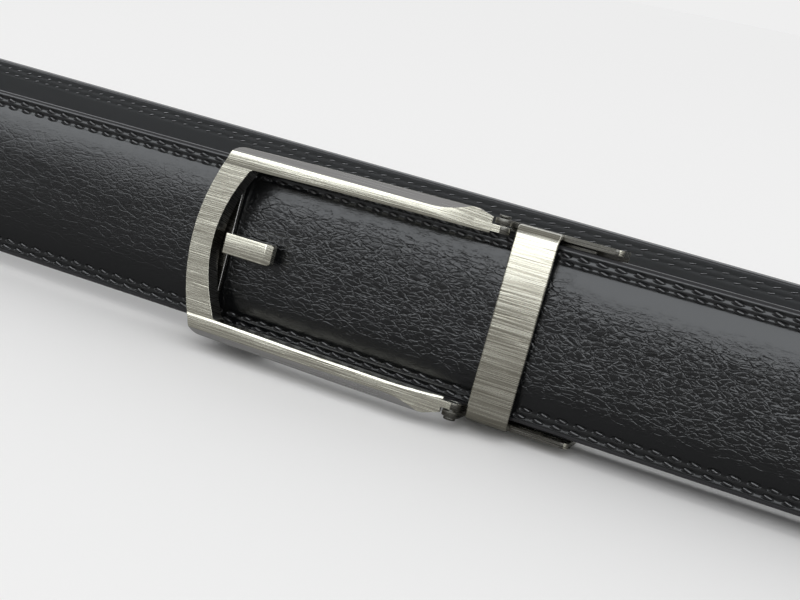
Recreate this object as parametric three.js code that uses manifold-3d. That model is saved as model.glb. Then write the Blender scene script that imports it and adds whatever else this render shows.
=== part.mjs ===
// A 35 mm wide leather belt with a ratchet buckle, fastened into a loop that stands on its lower edge.
// Millimetres, +Z up. The buckle is at the front and faces -Y; the strap's tip points to +X.
import * as THREE from 'three';
import { mergeVertices } from 'three/addons/utils/BufferGeometryUtils.js';
import Module from 'manifold-3d';

const wasm = await Module();
wasm.setup();

// Strap
const strapWidth = 35;
const crownThickness = 3.9;
const marginThickness = 2.7;
const tipReach = 95;
const tipTaper = 24;
const tipRows = 7;
const tipEndShare = 0.12;

// Loop, seen from above: the two long stretches and the rounded ends that join them
const backStretchY = 47;
const backStretchSlope = -0.066;
const rightEndX = 185;
const leftEndX = -205;
const endRadius = 34;
const flareRadius = 70;
const arcStep = 7;
const straightStep = 36;

// The front stretch leans back, and the stretches out of sight stand upright
const frontLean = THREE.MathUtils.degToRad(12);
const leanFadeLength = 150;

// Clearances
const gap = 0.3;
const strapPlay = 0.85;
const fixedEndClearance = 0.35;
const cutOver = 1;
const weldDistance = 1e-5;

// Ratchet track on the inner face of the tip
const trackWidth = 7;
const trackThickness = 1.1;
const toothDepth = 0.5;
const toothPitch = 6.2;
const trackStart = -104;
const trackEndInset = 16;

// Clamp that holds the cut end of the strap; X = 0 is the keeper's edge nearer the frame
const clampReach = 20;
const wallThickness = 1.1;
const baseThickness = 1.0;
const wallCorner = 1.6;
const jawThickness = 0.8;
const jawLength = 13;
const jawTeeth = 4;
const jawToothDepth = 0.2;
const fixedEndInset = 1.5;

// Keeper
const keeperWidth = 8.5;
const keeperThickness = 1.0;
const keeperRise = 1.4;
const keeperCorner = 2.2;

// Frame
const frameLength = 59.4;
const frameOverWall = 0.15;
const frameFlare = 0.6;
const frameRise = 1.1;
const frameThickness = 3.9;
const heelClearance = 0.4;
const barWidth = 4.8;
const armWidth = 4.0;
const toeBulge = 4.2;
const frameCorner = 2.6;
const windowCorner = 1.2;
const bevelWidth = 1.8;
const bevelDepth = 1.5;
const heelRollLength = 8.5;
const heelRollDepth = 1.9;
const heelSlope = 3.0;
const heelSlopeDepth = 1.4;
const heelDrop = 0.9;

// Hinge between the frame's heel and the clamp
const hingeRise = 1.2;
const earClearance = 0.8;
const pinRadius = 0.8;
const pinHeadRadius = 1.2;
const pinHead = 0.7;
const pinSides = 16;
const lugRadius = 1.7;
const lugThickness = 1.4;

// Ratchet housing under the toe bar, with the stub that looks like a prong
const plateThickness = 1.1;
const plateRise = 0.4;
const plateInset = 1.0;
const housingLength = 13.6;
const housingSeat = 0.6;
const housingWall = 1.0;
const housingPlay = 0.45;
const prongLength = 11;
const prongHeight = 4.3;
const prongRise = 3.4;
const prongCorner = 0.6;
const prongClearance = 1.4;
const tongueLength = 3.2;
const tongueInset = 0.4;
const leverThickness = 1.3;
const leverInset = 3.2;
const leverLowInset = 1.0;
const leverTopZ = 5;
const pawlHalfWidth = 3.8;

// Worked out from the sizes above
const half = strapWidth / 2;
const trackFront = crownThickness + gap;
const trackBack = trackFront + trackThickness;
const jawFront = trackBack + gap;
const fixedFront = jawFront + jawThickness + gap;
const fixedBack = fixedFront + crownThickness;
const baseFront = fixedBack + gap;
const clampBack = baseFront + baseThickness;
const wallInner = half + strapPlay;
const wallOuter = wallInner + wallThickness;
const wallFront = crownThickness - marginThickness + gap;
const hingeReach = Math.max(lugRadius, pinHeadRadius);
const hingeX = -earClearance - hingeReach;
const hingeY = -hingeRise - lugRadius;
const plateBack = -plateRise;
const plateFront = plateBack - plateThickness;
const frameBack = plateFront - frameRise;
const frameFront = frameBack - frameThickness;
const frameHeelX = hingeX - hingeReach - heelClearance;
const frameHalfHeight = wallOuter + frameOverWall;
const windowToeX = -frameLength + barWidth;
const prongStartX = windowToeX - toeBulge + prongClearance;
const plateEdgeX = prongStartX;
const housingStartX = plateEdgeX - housingSeat;
const housingEndX = housingStartX + housingLength;
const housingBackFront = trackBack + gap;
const housingBack = housingBackFront + plateThickness;
const lowestCorner = wallOuter * Math.cos(frontLean) + clampBack * Math.sin(frontLean);
const lowestFrame = (frameHalfHeight + frameFlare) * Math.cos(frontLean);
const centreHeight = Math.max(lowestCorner, lowestFrame);

const finishes = {
  leather: { color: 0x1a1a1c, roughness: 0.45, metalness: 0 },
  metal: { color: 0xb4b1a4, roughness: 0.35, metalness: 1 },
  darkMetal: { color: 0x6b6a64, roughness: 0.45, metalness: 1 },
  plastic: { color: 0x18181a, roughness: 0.5, metalness: 0 },
};

function named(name, geometry, finish) {
  const mesh = new THREE.Mesh(geometry, new THREE.MeshStandardMaterial(finishes[finish]));
  mesh.name = name;
  return mesh;
}

// Booleans
function solid(geometry) {
  const bare = geometry.clone();
  bare.deleteAttribute('normal');
  bare.deleteAttribute('uv');
  const merged = mergeVertices(bare, weldDistance);
  const mesh = new wasm.Mesh({
    numProp: 3,
    vertProperties: Float32Array.from(merged.attributes.position.array),
    triVerts: Uint32Array.from(merged.index.array),
  });
  return new wasm.Manifold(mesh);
}

function geometryOf(manifold) {
  const mesh = manifold.getMesh();
  const geometry = new THREE.BufferGeometry();
  geometry.setAttribute('position', new THREE.BufferAttribute(Float32Array.from(mesh.vertProperties), 3));
  geometry.setIndex(Array.from(mesh.triVerts));
  geometry.computeVertexNormals();
  return geometry;
}

function box(x0, x1, y0, y1, z0, z1) {
  const geometry = new THREE.BoxGeometry(x1 - x0, y1 - y0, z1 - z0);
  return geometry.translate((x0 + x1) / 2, (y0 + y1) / 2, (z0 + z1) / 2);
}

// A shape drawn in X and Z, made a slab from yFront back to yBack.
function slabXZ(shape, yFront, yBack, curveSegments = 6) {
  const options = { depth: yBack - yFront, bevelEnabled: false, curveSegments };
  const geometry = new THREE.ExtrudeGeometry(shape, options);
  return geometry.rotateX(Math.PI / 2).translate(0, yBack, 0);
}

// A shape drawn in X and Y, raised from z0 to z1.
function slabXY(shape, z0, z1, curveSegments = 6) {
  const geometry = new THREE.ExtrudeGeometry(shape, { depth: z1 - z0, bevelEnabled: false, curveSegments });
  return geometry.translate(0, 0, z0);
}

// A shape drawn in Y and Z, run along X from x0 to x1.
function slabYZ(shape, x0, x1, curveSegments = 6) {
  const options = { depth: x1 - x0, bevelEnabled: false, curveSegments };
  const turn = new THREE.Matrix4().makeBasis(
    new THREE.Vector3(0, 1, 0),
    new THREE.Vector3(0, 0, 1),
    new THREE.Vector3(1, 0, 0),
  );
  return new THREE.ExtrudeGeometry(shape, options).applyMatrix4(turn).translate(x0, 0, 0);
}

function roundedRectangle(x0, x1, y0, y1, radius) {
  const shape = new THREE.Shape();
  shape.absarc(x1 - radius, y1 - radius, radius, 0, Math.PI / 2);
  shape.absarc(x0 + radius, y1 - radius, radius, Math.PI / 2, Math.PI);
  shape.absarc(x0 + radius, y0 + radius, radius, Math.PI, Math.PI * 1.5);
  shape.absarc(x1 - radius, y0 + radius, radius, Math.PI * 1.5, Math.PI * 2);
  return shape;
}

function pinAlongZ(x, y, radius, z0, z1) {
  const geometry = new THREE.CylinderGeometry(radius, radius, z1 - z0, pinSides);
  return geometry.rotateX(Math.PI / 2).translate(x, y, (z0 + z1) / 2);
}

// Strap path, seen from above
function flare(point, direction, outward, centre, side) {
  const toCentre = centre.clone().sub(point);
  const across = flareRadius - toCentre.dot(outward);
  const reach = Math.sqrt((endRadius + flareRadius) ** 2 - across ** 2);
  const touch = point.clone().addScaledVector(direction, toCentre.dot(direction) + side * reach);
  const flareCentre = touch.clone().addScaledVector(outward, flareRadius);
  const joint = centre.clone().lerp(flareCentre, endRadius / (endRadius + flareRadius));
  return { touch, flareCentre, joint };
}

function arcStations(centre, from, to, turn) {
  const start = Math.atan2(from.y - centre.y, from.x - centre.x);
  let sweep = Math.atan2(to.y - centre.y, to.x - centre.x) - start;
  while (turn * sweep < 0) sweep += turn * Math.PI * 2;
  const radius = from.distanceTo(centre);
  const count = Math.max(2, Math.round((Math.abs(sweep) * radius) / arcStep));
  return Array.from({ length: count }, (_, i) => {
    const angle = start + (sweep * (i + 1)) / count;
    const spot = new THREE.Vector2(Math.cos(angle), Math.sin(angle));
    const heading = new THREE.Vector2(-spot.y, spot.x).multiplyScalar(turn);
    return { spot: spot.multiplyScalar(radius).add(centre), heading };
  });
}

function lineStations(from, to, step) {
  const heading = to.clone().sub(from).normalize();
  const count = Math.max(1, Math.round(from.distanceTo(to) / step));
  return Array.from({ length: count }, (_, i) => ({ spot: from.clone().lerp(to, (i + 1) / count), heading }));
}

function strapStations() {
  const ahead = new THREE.Vector2(1, 0);
  const back = new THREE.Vector2(-1, -backStretchSlope).normalize();
  const backOutward = new THREE.Vector2(back.y, -back.x);
  const midShift = (crownThickness / 2) * Math.cos(frontLean);
  const fixedY = fixedFront * Math.cos(frontLean) + midShift;
  const backAt = (x) => new THREE.Vector2(x, backStretchY + backStretchSlope * x);
  const middle = (y, x) => new THREE.Vector2(x, (y + backAt(x).y) / 2);
  const outward = new THREE.Vector2(0, -1);

  const fixedStart = new THREE.Vector2(fixedEndInset, fixedY);
  const tipEnd = new THREE.Vector2(tipReach, midShift);
  const rightEnd = middle(fixedY, rightEndX);
  const leftEnd = middle(midShift, leftEndX);
  const r1 = flare(fixedStart, ahead, outward, rightEnd, -1);
  const r2 = flare(backAt(0), back, backOutward, rightEnd, 1);
  const l1 = flare(backAt(0), back, backOutward, leftEnd, -1);
  const l2 = flare(tipEnd, ahead, outward, leftEnd, 1);
  const taperStart = new THREE.Vector2(tipReach - tipTaper, midShift);
  return [
    { spot: fixedStart, heading: ahead },
    ...lineStations(fixedStart, r1.touch, straightStep),
    ...arcStations(r1.flareCentre, r1.touch, r1.joint, -1),
    ...arcStations(rightEnd, r1.joint, r2.joint, 1),
    ...arcStations(r2.flareCentre, r2.joint, r2.touch, -1),
    ...lineStations(r2.touch, l1.touch, straightStep),
    ...arcStations(l1.flareCentre, l1.touch, l1.joint, -1),
    ...arcStations(leftEnd, l1.joint, l2.joint, 1),
    ...arcStations(l2.flareCentre, l2.joint, l2.touch, -1),
    ...lineStations(l2.touch, taperStart, straightStep),
    ...lineStations(taperStart, tipEnd, tipTaper / tipRows),
  ];
}

// One half of the strap's section: share of the half width, share of the way from the inner face
// to the margin's face, and share of the crown's extra height.
const sectionRows = [
  { across: 0, depth: 1, crown: 1 },
  { across: 0.3, depth: 1, crown: 0.95 },
  { across: 0.52, depth: 1, crown: 0.8 },
  { across: 0.68, depth: 1, crown: 0.52 },
  { across: 0.78, depth: 1, crown: 0.18 },
  { across: 0.84, depth: 1, crown: 0 },
  { across: 0.955, depth: 1, crown: 0 },
  { across: 0.985, depth: 0.9, crown: 0 },
  { across: 1, depth: 0.72, crown: 0 },
  { across: 1, depth: 0.22, crown: 0 },
  { across: 0.985, depth: 0.06, crown: 0 },
  { across: 0.955, depth: 0, crown: 0 },
];

function strapSection(widthShare) {
  const crownRise = crownThickness - marginThickness;
  const upper = sectionRows.map((row) => new THREE.Vector2(
    marginThickness * row.depth + crownRise * row.crown * Math.sqrt(widthShare) - crownThickness / 2,
    half * row.across * widthShare,
  ));
  const lower = upper.slice(1).map((p) => new THREE.Vector2(p.x, -p.y)).reverse();
  return [...upper, ...lower];
}

function strapGeometry() {
  const stations = strapStations();
  let travelled = 0;
  stations.forEach((station, i) => {
    if (i > 0) travelled += station.spot.distanceTo(stations[i - 1].spot);
    station.at = travelled;
  });
  const front = stations.at(-1).at;
  const fullUntil = tipReach + gap;
  const frontFrom = front - tipReach - frameLength - leanFadeLength / 2;
  const frontLift = centreHeight - crownThickness * Math.sin(frontLean) - half * Math.cos(frontLean);
  const fixedEndDrop = strapPlay - fixedEndClearance;
  const fixedLift = frontLift - fixedFront * Math.sin(frontLean) - fixedEndDrop;
  const positions = [];
  let rowLength = 0;
  for (const station of stations) {
    const fixedShare = 1 - THREE.MathUtils.smoothstep(station.at, fullUntil, fullUntil + leanFadeLength);
    const frontShare = THREE.MathUtils.smoothstep(station.at, frontFrom - leanFadeLength, frontFrom);
    const lean = frontLean * Math.max(fixedShare, frontShare);
    const lift = fixedLift * fixedShare + frontLift * frontShare;
    const toTip = (front - station.at) / tipTaper;
    const toTaper = Math.max(0, 1 - toTip);
    const widthShare = Math.sqrt(1 - (1 - tipEndShare ** 2) * toTaper ** 2);
    const height = lift + half * Math.cos(lean) + (crownThickness / 2) * Math.sin(lean);
    const outward = new THREE.Vector3(station.heading.y, -station.heading.x, 0);
    const normal = outward.clone().multiplyScalar(Math.cos(lean)).setZ(Math.sin(lean));
    const upward = outward.clone().multiplyScalar(-Math.sin(lean)).setZ(Math.cos(lean));
    const centre = new THREE.Vector3(station.spot.x, station.spot.y, height);
    const section = strapSection(widthShare);
    rowLength = section.length;
    for (const p of section) {
      const v = centre.clone().addScaledVector(normal, p.x).addScaledVector(upward, p.y);
      positions.push(v.x, v.y, v.z);
    }
  }
  const index = [];
  for (let row = 0; row + 1 < stations.length; row += 1) {
    for (let i = 0; i < rowLength; i += 1) {
      const next = (i + 1) % rowLength;
      const [a, b] = [row * rowLength + i, row * rowLength + next];
      const [c, d] = [a + rowLength, b + rowLength];
      index.push(a, c, b, b, c, d);
    }
  }
  const cap = THREE.ShapeUtils.triangulateShape(strapSection(1), []);
  const last = (stations.length - 1) * rowLength;
  for (const [a, b, c] of cap) {
    index.push(a, b, c);
    index.push(last + a, last + c, last + b);
  }
  const geometry = new THREE.BufferGeometry();
  geometry.setAttribute('position', new THREE.Float32BufferAttribute(positions, 3));
  geometry.setIndex(index);
  geometry.computeVertexNormals();
  return geometry;
}

// The buckle's pieces are drawn upright, with Z = 0 at the strap's mid width and Y = 0 at its crown.
// One tooth of the track: share of the pitch from its steep side, and share of the tooth's depth.
const toothRows = [
  { along: 0.55, depth: 0 },
  { along: 0.62, depth: 1 },
  { along: 0.8, depth: 1 },
  { along: 0.98, depth: 0 },
];

function trackGeometry() {
  const end = tipReach - tipTaper - trackEndInset;
  const teeth = Math.floor((end - trackStart) / toothPitch);
  const shape = new THREE.Shape();
  shape.moveTo(trackStart, trackFront);
  shape.lineTo(end, trackFront);
  shape.lineTo(end, trackBack);
  for (let i = 0; i < teeth; i += 1) {
    const x = end - i * toothPitch;
    for (const row of toothRows) shape.lineTo(x - toothPitch * row.along, trackBack - toothDepth * row.depth);
  }
  shape.lineTo(trackStart, trackBack);
  return slabXY(shape, -trackWidth / 2, trackWidth / 2);
}

// A frame outline: a bowed toe with rounded corners, and sides that spread a little toward sideEndX.
// Past that its ends draw in by endDrop as far as endX.
function bowedOutline(toeX, sideEndX, endX, high, corner, endDrop) {
  const sideHigh = high + frameFlare;
  const midX = (toeX + sideEndX) / 2;
  const bowX = toeX - (toeBulge * corner) / high;
  const bowPull = 2 * (toeX - toeBulge) - bowX;
  const shape = new THREE.Shape();
  shape.moveTo(endX, sideHigh - endDrop);
  shape.lineTo(sideEndX, sideHigh);
  shape.quadraticCurveTo(midX, sideHigh, toeX + corner, high);
  shape.quadraticCurveTo(toeX, high, bowX, high - corner);
  shape.quadraticCurveTo(bowPull, 0, bowX, -high + corner);
  shape.quadraticCurveTo(toeX, -high, toeX + corner, -high);
  shape.quadraticCurveTo(midX, -sideHigh, sideEndX, -sideHigh);
  shape.lineTo(endX, -sideHigh + endDrop);
  return shape;
}

// A slab in the frame's outline. Its arms are bevelled along their outer sides, and their fronts roll
// back toward the heel and end in a short slope, down to the lugs.
function frameGeometry() {
  const segments = 12;
  const sideEndX = frameHeelX - heelSlope;
  const outline = bowedOutline(-frameLength, sideEndX, frameHeelX, frameHalfHeight, frameCorner, heelDrop);
  const opening = bowedOutline(
    windowToeX,
    frameHeelX,
    frameHeelX + cutOver,
    frameHalfHeight - armWidth,
    windowCorner,
    0,
  );
  const window = slabXZ(opening, frameFront - cutOver, frameBack + cutOver, segments);
  let frame = solid(slabXZ(outline, frameFront, frameBack, segments)).subtract(solid(window));

  const rollStartX = sideEndX - heelRollLength;
  const rollEndY = frameFront + heelRollDepth;
  const roll = new THREE.Shape();
  roll.moveTo(rollStartX, frameFront - cutOver);
  roll.lineTo(rollStartX, frameFront);
  roll.quadraticCurveTo((rollStartX + sideEndX) / 2, frameFront, sideEndX, rollEndY);
  roll.lineTo(frameHeelX + gap, rollEndY + heelSlopeDepth);
  roll.lineTo(frameHeelX + gap, frameFront - cutOver);
  const tallest = frameHalfHeight + frameFlare + cutOver;
  frame = frame.subtract(solid(slabXY(roll, -tallest, tallest, 8)));

  for (const side of [1, -1]) {
    const edge = side * (frameHalfHeight + frameFlare);
    const ridge = side * (frameHalfHeight + frameFlare - bevelWidth);
    const bevel = new THREE.Shape();
    bevel.moveTo(frameFront - cutOver, side * tallest);
    bevel.lineTo(frameFront - cutOver, ridge);
    bevel.lineTo(frameFront, ridge);
    bevel.lineTo(frameFront + bevelDepth, edge);
    bevel.lineTo(frameFront + bevelDepth, side * tallest);
    const reach = frameLength + toeBulge + cutOver;
    frame = frame.subtract(solid(slabYZ(bevel, -reach, frameHeelX + cutOver)));
  }

  const lugOuter = wallInner - gap;
  const lugInner = lugOuter - lugThickness;
  const lug = new THREE.Shape();
  lug.moveTo(sideEndX, hingeY - lugRadius);
  lug.lineTo(hingeX, hingeY - lugRadius);
  lug.absarc(hingeX, hingeY, lugRadius, -Math.PI / 2, Math.PI / 2);
  lug.lineTo(sideEndX, hingeY + lugRadius);
  for (const [z0, z1] of [[lugInner, lugOuter], [-lugOuter, -lugInner]]) {
    const bore = pinAlongZ(hingeX, hingeY, pinRadius + gap / 2, z0 - cutOver, z1 + cutOver);
    frame = frame.add(solid(slabXY(lug, z0, z1, 8))).subtract(solid(bore));
  }
  return geometryOf(frame);
}

function housingGeometry() {
  const inner = half + housingPlay;
  const outer = inner + housingWall;
  const toeX = -frameLength + plateInset;
  const plate = new THREE.Shape();
  const tongueX = plateEdgeX + tongueLength;
  const tongueHalf = prongHeight / 2 - tongueInset;
  plate.moveTo(plateEdgeX, -outer);
  plate.lineTo(plateEdgeX, -tongueHalf);
  plate.lineTo(tongueX, -tongueHalf);
  plate.lineTo(tongueX, tongueHalf);
  plate.lineTo(plateEdgeX, tongueHalf);
  plate.lineTo(plateEdgeX, outer);
  plate.lineTo(toeX, outer);
  plate.quadraticCurveTo(toeX - toeBulge * 2, 0, toeX, -outer);
  let body = solid(slabXZ(plate, plateFront, plateBack, 8));
  for (const [z0, z1] of [[inner, outer], [-outer, -inner]]) {
    body = body.add(solid(box(housingStartX, housingEndX, frameBack + gap, housingBack, z0, z1)));
  }
  const backHalf = inner + housingWall / 2;
  body = body.add(solid(box(housingStartX, housingEndX, housingBackFront, housingBack, -backHalf, backHalf)));
  const slotHalf = pawlHalfWidth + gap;
  const slotX0 = housingStartX + leverInset - gap;
  const slotX1 = housingEndX - leverInset + gap;
  const [slotY0, slotY1] = [housingBackFront - cutOver, housingBack + cutOver];
  return geometryOf(body.subtract(solid(box(slotX0, slotX1, slotY0, slotY1, -slotHalf, slotHalf))));
}

function leverGeometry() {
  const x0 = housingStartX + leverInset;
  const x1 = housingEndX - leverInset;
  const leverFront = housingBack + gap;
  const bar = box(x0, x1, leverFront, leverFront + leverThickness, -half + leverLowInset, leverTopZ);
  const pawlBack = leverFront + leverThickness / 2;
  const pawl = box(x0, x1, housingBackFront, pawlBack, -pawlHalfWidth, pawlHalfWidth);
  return geometryOf(solid(bar).add(solid(pawl)));
}

// The stub's outline from the front, cut by its outline from the side: a sloped nose and eased edges.
function prongGeometry() {
  const back = plateFront - gap;
  const front = back - prongRise;
  const noseX = prongStartX + prongLength;
  const nose = prongCorner * 2;
  const face = roundedRectangle(prongStartX, noseX, -prongHeight / 2, prongHeight / 2, prongCorner);
  const side = new THREE.Shape();
  side.moveTo(prongStartX, back);
  side.lineTo(prongStartX, front + prongCorner);
  side.lineTo(prongStartX + prongCorner, front);
  side.lineTo(noseX - nose, front);
  side.lineTo(noseX, front + nose);
  side.lineTo(noseX, back - prongCorner);
  side.lineTo(noseX - prongCorner, back);
  const bulk = solid(slabXZ(face, front - cutOver, back, 4));
  return geometryOf(bulk.intersect(solid(slabXY(side, -prongHeight, prongHeight))));
}

// A channel: its base behind the cut end, and two walls with a round ear for the hinge pin.
function clampGeometry() {
  const x0 = hingeX - lugRadius;
  let body = solid(box(x0, clampReach, baseFront, clampBack, -wallOuter, wallOuter));
  const wall = new THREE.Shape();
  wall.moveTo(x0, clampBack);
  wall.lineTo(x0, hingeY);
  wall.absarc(hingeX, hingeY, lugRadius, Math.PI, Math.PI * 2);
  wall.lineTo(hingeX + lugRadius, wallFront);
  wall.lineTo(clampReach - wallCorner, wallFront);
  wall.absarc(clampReach - wallCorner, wallFront + wallCorner, wallCorner, -Math.PI / 2, 0);
  wall.lineTo(clampReach, clampBack);
  for (const z0 of [wallInner, -wallOuter]) {
    const z1 = z0 + wallThickness;
    const bore = pinAlongZ(hingeX, hingeY, pinRadius + gap / 2, z0 - cutOver, z1 + cutOver);
    body = body.add(solid(slabXY(wall, z0, z1, 8))).subtract(solid(bore));
  }
  return geometryOf(body);
}

function jawGeometry() {
  const x0 = fixedEndInset;
  const pitch = jawLength / jawTeeth;
  const back = jawFront + jawThickness;
  const toothFoot = 0.8;
  const shape = new THREE.Shape();
  shape.moveTo(x0, jawFront);
  shape.lineTo(x0 + jawLength, jawFront);
  for (let i = jawTeeth; i > 0; i -= 1) {
    shape.lineTo(x0 + i * pitch, back);
    shape.lineTo(x0 + (i - toothFoot) * pitch, back - jawToothDepth);
  }
  shape.lineTo(x0, back);
  return slabXY(shape, -wallInner + gap, wallInner - gap);
}

function pinGeometry(side) {
  const inside = wallInner - gap - lugThickness;
  const outside = wallOuter + pinHead;
  const [z0, z1] = side > 0 ? [inside, outside] : [-outside, -inside];
  const headStart = wallOuter + gap / 2;
  const [h0, h1] = side > 0 ? [headStart, outside] : [-outside, -headStart];
  const shank = solid(pinAlongZ(hingeX, hingeY, pinRadius, z0, z1));
  return geometryOf(shank.add(solid(pinAlongZ(hingeX, hingeY, pinHeadRadius, h0, h1))));
}

// A band over the tip, whose two legs stand on the clamp's walls.
function keeperGeometry() {
  const back = -keeperRise;
  const front = back - keeperThickness;
  const legEnd = wallFront - gap;
  const round = Math.min(keeperCorner, legEnd - back);
  const ease = round / 2;
  const band = new THREE.Shape();
  band.moveTo(legEnd, wallOuter);
  band.lineTo(front + round, wallOuter);
  band.quadraticCurveTo(front, wallOuter, front, wallOuter - round);
  band.lineTo(front, -wallOuter + round);
  band.quadraticCurveTo(front, -wallOuter, front + round, -wallOuter);
  band.lineTo(legEnd, -wallOuter);
  band.lineTo(legEnd, -wallInner);
  band.lineTo(back + ease, -wallInner);
  band.lineTo(back, -wallInner + ease);
  band.lineTo(back, wallInner - ease);
  band.lineTo(back + ease, wallInner);
  band.lineTo(legEnd, wallInner);
  return slabYZ(band, 0, keeperWidth, 5);
}

const buckle = new THREE.Group();
buckle.add(
  named('ratchet_track', trackGeometry(), 'plastic'),
  named('buckle_frame', frameGeometry(), 'metal'),
  named('ratchet_housing', housingGeometry(), 'darkMetal'),
  named('release_lever', leverGeometry(), 'darkMetal'),
  named('prong_stub', prongGeometry(), 'metal'),
  named('clamp_body', clampGeometry(), 'metal'),
  named('clamp_jaw', jawGeometry(), 'darkMetal'),
  named('hinge_pin_top', pinGeometry(1), 'darkMetal'),
  named('hinge_pin_bottom', pinGeometry(-1), 'darkMetal'),
  named('keeper', keeperGeometry(), 'metal'),
);
buckle.position.z = centreHeight;
buckle.rotation.x = -frontLean;

const belt = new THREE.Group();
belt.add(named('strap', strapGeometry(), 'leather'), buckle);
belt.updateMatrixWorld(true);

// The origin is the middle of the whole belt's box, at the surface that it stands on.
const extent = new THREE.Box3().setFromObject(belt, true);
belt.position.set(-(extent.min.x + extent.max.x) / 2, -(extent.min.y + extent.max.y) / 2, -extent.min.z);

export default belt;
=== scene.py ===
"""A black leather ratchet belt with a brushed nickel buckle, fastened into a loop and standing on its edge.

Everything is in metres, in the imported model's frame. The sections follow the belt as it is put together:
the strap and its stitches, the track under its tip, the buckle, and then the studio around it.
"""
import math

import bmesh
import bpy
import numpy as np
from mathutils import Matrix, Vector


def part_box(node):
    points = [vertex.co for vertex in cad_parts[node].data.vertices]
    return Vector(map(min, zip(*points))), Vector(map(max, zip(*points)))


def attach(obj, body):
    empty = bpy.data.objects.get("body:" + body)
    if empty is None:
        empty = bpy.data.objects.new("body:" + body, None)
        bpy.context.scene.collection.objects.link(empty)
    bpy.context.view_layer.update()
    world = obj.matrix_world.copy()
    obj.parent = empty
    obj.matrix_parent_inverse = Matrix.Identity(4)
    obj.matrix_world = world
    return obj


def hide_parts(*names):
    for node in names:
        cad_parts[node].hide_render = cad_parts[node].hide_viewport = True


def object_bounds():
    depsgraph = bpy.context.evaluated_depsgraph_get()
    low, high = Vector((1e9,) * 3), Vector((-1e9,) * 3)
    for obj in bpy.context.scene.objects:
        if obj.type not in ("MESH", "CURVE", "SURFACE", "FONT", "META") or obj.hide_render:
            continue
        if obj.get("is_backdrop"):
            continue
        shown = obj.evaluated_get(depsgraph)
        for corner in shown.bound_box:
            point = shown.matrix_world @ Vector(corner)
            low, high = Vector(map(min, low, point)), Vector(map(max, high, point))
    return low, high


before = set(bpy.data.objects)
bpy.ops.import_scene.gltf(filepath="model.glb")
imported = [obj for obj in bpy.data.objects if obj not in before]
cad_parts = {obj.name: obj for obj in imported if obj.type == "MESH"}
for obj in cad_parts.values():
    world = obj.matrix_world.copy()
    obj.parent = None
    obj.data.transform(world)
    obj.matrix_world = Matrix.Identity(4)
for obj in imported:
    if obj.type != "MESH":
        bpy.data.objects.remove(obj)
cad_low, cad_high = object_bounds()


# Camera
# It stands where the photograph was taken from: out from the keeper, a little above it, and rolled.
# The buckle's own frame leans back with the front stretch; its zero is the crown at the keeper's edge.
lean = math.radians(12)
crown_thickness = 0.0039
margin_thickness = 0.0027
strap_width = 0.035
half = strap_width / 2
track_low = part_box("ratchet_track")[0]
track_front = 0.0042
track_half = 0.0035
clamp_back = 0.0119
clamp_half = 0.01945
buckle = Vector((
    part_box("keeper")[0].x,
    track_low.y - track_front * math.cos(lean) + track_half * math.sin(lean),
    clamp_half * math.cos(lean) + clamp_back * math.sin(lean),
))

eye_right = 0.04777
eye_out = 0.19794
eye_up = 0.06296
heading = math.radians(-18.717)
dip = math.radians(17.097)
roll = math.radians(11.366)
ahead = Vector((
    math.sin(heading) * math.cos(dip),
    math.cos(heading) * math.cos(dip),
    -math.sin(dip),
))
level = ahead.cross(Vector((0, 0, 1))).normalized()
above = level.cross(ahead)
right = level * math.cos(roll) + above * math.sin(roll)
up = above * math.cos(roll) - level * math.sin(roll)
lens = bpy.data.cameras.new("camera")
lens.lens = 50
lens.sensor_width = 36
lens.clip_start = 0.01
camera = bpy.data.objects.new("camera", lens)
camera.matrix_world = Matrix((
    (right.x, up.x, -ahead.x, buckle.x + eye_right),
    (right.y, up.y, -ahead.y, buckle.y - eye_out),
    (right.z, up.z, -ahead.z, buckle.z + eye_up),
    (0, 0, 0, 1),
))
bpy.context.scene.collection.objects.link(camera)
bpy.context.scene.camera = camera


# Strap
# Two layers of leather over a filler that crowns the middle, glued, stitched along both margins and
# painted along the cut edges. It runs from the clamp round the loop, and its tip comes back over it.
back_stretch_y = 0.047
back_stretch_slope = -0.066
right_end_x = 0.185
left_end_x = -0.205
end_radius = 0.034
flare_radius = 0.070
tip_reach = 0.095
tip_taper = 0.024
tip_end_share = 0.12
frame_length = 0.0594
lean_fade = 0.150
fixed_end_inset = 0.0015
fixed_end_drop = 0.0005
fixed_front = 0.0067
gap = 0.0003
tip_rows = 20
tip_row_space = 0.003


def flare(point, forward, outward, centre, side):
    """The touch point of a flare on a straight stretch, the flare's centre, and where it meets the end."""
    to_centre = centre - point
    across = flare_radius - to_centre.dot(outward)
    reach = math.sqrt((end_radius + flare_radius) ** 2 - across ** 2)
    touch = point + forward * (to_centre.dot(forward) + side * reach)
    flare_centre = touch + outward * flare_radius
    joint = centre.lerp(flare_centre, end_radius / (end_radius + flare_radius))
    return touch, flare_centre, joint


def arc(centre, start, finish, turn, step=0.002):
    """Spots and headings along an arc, without its first spot."""
    first = math.atan2(start.y - centre.y, start.x - centre.x)
    sweep = math.atan2(finish.y - centre.y, finish.x - centre.x) - first
    while turn * sweep < 0:
        sweep += turn * math.tau
    radius = (start - centre).length
    count = max(2, round(abs(sweep) * radius / step))
    for i in range(count):
        angle = first + sweep * (i + 1) / count
        spot = Vector((math.cos(angle), math.sin(angle)))
        yield centre + spot * radius, Vector((-spot.y, spot.x)) * turn


def line(start, finish, step=0.005):
    """Spots and headings along a straight stretch, without its first spot."""
    forward = (finish - start).normalized()
    count = max(1, round((finish - start).length / step))
    for i in range(count):
        yield start.lerp(finish, (i + 1) / count), forward


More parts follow.
